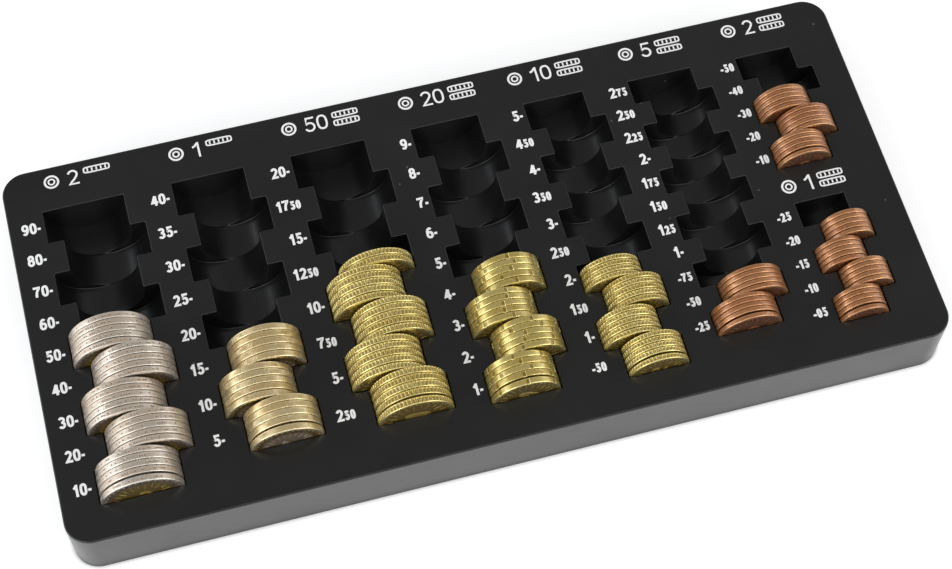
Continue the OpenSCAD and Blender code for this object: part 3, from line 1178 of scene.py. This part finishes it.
# Width of the painted contact shadow round the tray
PAINTED_SHADOW_WIDTH = 1.2 * MM

floor_mesh = bpy.data.meshes.new("floor")
floor_corners = [(x * FLOOR_SIZE, y * FLOOR_SIZE, 0.0) for x, y in ((-1, -1), (1, -1), (1, 1), (-1, 1))]
floor_mesh.from_pydata(floor_corners, [], [(0, 1, 2, 3)])
floor = add_object("floor", floor_mesh)
floor_material, tree, shader, place = start_material("white_floor")
path = add_node(tree, "LightPath").outputs
# Distance from the tray's outline, whose corners are round: the root of dx squared and dy squared, where
# dx and dy are what |x| and |y| have beyond the centre of the corner
beyond = [maths(tree, "MAXIMUM", minus(tree, maths(tree, "ABSOLUTE", part), half - CORNER_RADIUS))
          for part, half in zip(add_node(tree, "SeparateXYZ", Vector=place).outputs, cad_box[1][:2])]
apart = maths(tree, "SQRT", plus(tree, *(times(tree, part, part) for part in beyond)))
# Within a millimetre of the tray's outline the lift fades to nothing: a painted contact shadow, in view and
# in the mirror.
outside_painted_shadow = span(tree, apart, CORNER_RADIUS, CORNER_RADIUS + PAINTED_SHADOW_WIDTH)
lift = times(tree, path["Is Camera Ray"], FLOOR_LIFT)
mirrored = times(tree, path["Is Glossy Ray"], FLOOR_MIRRORED)
connect(tree, shader, Base_Color=(FLOOR_WHITE, FLOOR_WHITE, FLOOR_WHITE, 1), Roughness=0.9,
        Specular_IOR_Level=0.0, Emission_Color=(1, 1, 1, 1),
        Emission_Strength=times(tree, maths(tree, "MAXIMUM", lift, mirrored), outside_painted_shadow))
floor_mesh.materials.append(floor_material)

# %% [markdown]
# ## Lamps and sky
# Metal shows its surroundings, so the lamps are placed for what the coins mirror. Two soft
# boxes at the sides give the broad streaks on the coins' flanks, two in front the bright
# lines on their shoulders, and a narrow strip the thin lines in the middle. The sky above
# is dimmer than the horizon, as in a small photographic tent.

# %% Lamps and sky
SKY_TOP = 0.33
SKY_SIDE = 0.72
LIT_POINT = (0, 0, 0.02)


def area_lamp(name, place, target, width, height, watts, colour):
    """A soft box: a rectangle of light that faces its target."""
    data = bpy.data.lights.new(name, "AREA")
    data.shape = "RECTANGLE"
    data.size, data.size_y, data.energy, data.color = width, height, watts, colour
    lamp = add_object(name, data)
    lamp.location = place
    lamp.rotation_euler = (Vector(target) - Vector(place)).to_track_quat("-Z", "Y").to_euler()


def lamp_watts(radiance, width, height):
    """Power of a soft box that looks as bright as a white of this value: pi times value times area."""
    return radiance * math.pi * width * height


BOXES = [  # name, place, width, height, brightness, colour
    ("left_box", (-1.15, 0.22, 0.44), 1.2, 0.62, 1.55, (0.93, 1.0, 1.10)),
    ("right_box", (1.15, 0.22, 0.40), 1.2, 0.50, 0.62, (0.93, 1.0, 1.10)),
    ("left_front_box", (-0.98, -0.78, 0.56), 1.0, 0.70, 3.20, (1, 1, 1)),
    ("right_front_box", (0.98, -0.78, 0.56), 1.0, 0.70, 2.70, (1, 1, 1)),
    ("front_strip", (0.0, -0.55, 1.10), 1.6, 0.16, 5.00, (1, 1, 1)),
]
for name, place, width, height, brightness, colour in BOXES:
    area_lamp(name, place, LIT_POINT, width, height, lamp_watts(brightness, width, height), colour)

world = bpy.data.worlds.new("sky")
bpy.context.scene.world = world
world.use_nodes = True
tree = world.node_tree
rise = add_node(tree, "SeparateXYZ", Vector=add_node(tree, "TexCoord").outputs["Generated"]).outputs["Z"]
level = span(tree, rise, 0.05, 0.85, SKY_SIDE, SKY_TOP)
brightness = maths(tree, "MAXIMUM", level, add_node(tree, "LightPath").outputs["Is Camera Ray"])
connect(tree, tree.nodes["Background"], Color=(1, 1, 1, 1), Strength=brightness)
bpy.context.scene.view_settings.view_transform = "Standard"
